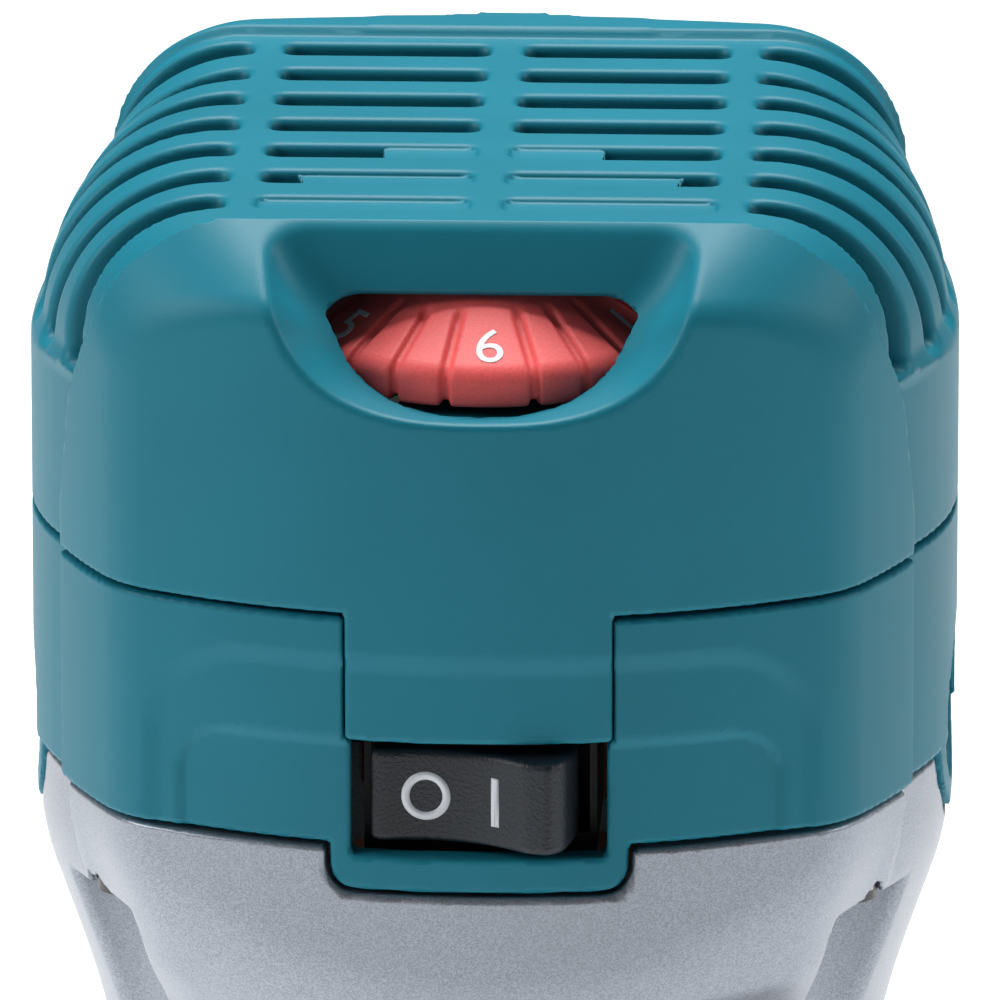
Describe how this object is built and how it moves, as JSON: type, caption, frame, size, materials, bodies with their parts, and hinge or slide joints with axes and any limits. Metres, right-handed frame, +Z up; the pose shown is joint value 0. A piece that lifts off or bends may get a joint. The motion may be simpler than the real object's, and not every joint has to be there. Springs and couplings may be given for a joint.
{
  "type": "trim router",
  "caption": "Compact corded trim router: motor unit with vented cap, speed dial and rocker switch, in a clamp base with rack depth setting and cam lever.",
  "frame": {"origin": "where the spindle axis meets the underside of the sole plate", "axes": "+Z up along the spindle, -Y towards the side with the switch and speed dial, +X to the right of someone facing that side"},
  "size_m": [0.1, 0.0933, 0.2],
  "materials": {
    "cap_plastic": "fine-grained moulded plastic",
    "housing_plastic": "fine-grained moulded plastic",
    "dial_plastic": "fine-grained moulded plastic",
    "rocker_plastic": "grained",
    "black_plastic": "moulded",
    "body_paint": "fine silver powder coat",
    "cast_alloy": "as cast and deburred",
    "lever_metal": "satin black",
    "zinc_steel": "zinc plated",
    "dark_steel": "black oxide",
    "ground_steel": "ground",
    "bearing_steel": "polished",
    "lamination": "laminated",
    "copper": "enamelled wire",
    "brass": "drawn",
    "carbon": "pressed carbon",
    "board": "laminate",
    "rubber": "moulded",
    "scale_foil": "printed foil"
  },
  "bodies": {
    "base": {"base_plate": "black_plastic", "base_screws": "zinc_steel", "base_casting": "cast_alloy", "clamp_bolt": "zinc_steel", "clamp_nut": "zinc_steel", "cam_saddle": "black_plastic", "lever_pin": "ground_steel"},
    "clamp_lever": {"lock_lever": "lever_metal"},
    "depth_pinion": {"pinion_shaft": "ground_steel", "depth_knob": "black_plastic", "knob_screw": "zinc_steel", "shaft_clip": "dark_steel"},
    "motor_unit": {"motor_housing": "body_paint", "depth_scale": "scale_foil", "depth_rack": "ground_steel", "rack_screws": "zinc_steel", "stator_core": "lamination", "stator_coils": "copper", "lower_bearing": "bearing_steel", "bearing_retainer": "dark_steel", "retainer_screws": "zinc_steel", "air_baffle": "black_plastic", "upper_housing": "housing_plastic", "upper_bearing": "bearing_steel", "brush_holders": "brass", "brush_springs": "ground_steel", "carbon_brushes": "carbon", "brush_caps": "black_plastic", "switch_body": "black_plastic", "switch_terminals": "brass", "top_cap": "cap_plastic", "control_board": "board", "potentiometer": "black_plastic", "board_parts": "black_plastic", "housing_screws": "zinc_steel", "cord_bush": "rubber", "lock_spring": "ground_steel"},
    "rotor": {"spindle": "ground_steel", "collet": "dark_steel", "armature_core": "lamination", "armature_windings": "copper", "commutator": "copper", "fan": "black_plastic", "lower_bearing_ring": "bearing_steel", "lower_bearing_balls": "bearing_steel", "upper_bearing_ring": "bearing_steel", "upper_bearing_balls": "bearing_steel"},
    "nut": {"collet_nut": "dark_steel"},
    "dial": {"speed_dial": "dial_plastic", "dial_shaft": "ground_steel"},
    "rocker": {"switch_rocker": "rocker_plastic"},
    "spindle_lock": {"lock_button": "black_plastic"}
  },
  "joints": [
    {"name": "depth_slide", "type": "slide", "parent": "base", "child": "motor_unit", "axis": [0, 0, 1], "range_m": [-0.015, 0.025]},
    {"name": "pinion_turn", "type": "hinge", "parent": "base", "child": "depth_pinion", "pos_m": [0, 0.0373, 0.084], "axis": [1, 0, 0], "range_deg": [-239, 144]},
    {"name": "lever_swing", "type": "hinge", "parent": "base", "child": "clamp_lever", "pos_m": [0.047, -0.0206, 0.084], "axis": [0, 0, 1], "range_deg": [0, 95]},
    {"name": "spindle_spin", "type": "hinge", "parent": "motor_unit", "child": "rotor", "pos_m": [0, 0, 0.1], "axis": [0, 0, 1], "continuous": true},
    {"name": "nut_turn", "type": "hinge", "parent": "rotor", "child": "nut", "pos_m": [0, 0, 0.02], "axis": [0, 0, -1], "range_deg": [0, 180]},
    {"name": "dial_turn", "type": "hinge", "parent": "motor_unit", "child": "dial", "pos_m": [0, -0.02, 0.189], "axis": [0, 0, 1], "range_deg": [0, 300]},
    {"name": "rocker_tilt", "type": "hinge", "parent": "motor_unit", "child": "rocker", "pos_m": [-0.0004, -0.0315, 0.152], "axis": [0, 0, 1], "range_deg": [0, 18]},
    {"name": "lock_press", "type": "slide", "parent": "motor_unit", "child": "spindle_lock", "axis": [0, 1, 0], "range_m": [0, 0.0028], "stiffness_N_per_m": 400, "springref_m": -0.002, "deforming": ["lock_spring"]}
  ],
  "couplings": [
    {"joint": "pinion_turn", "follows": "depth_slide", "rad_per_m": -166.67}
  ]
}
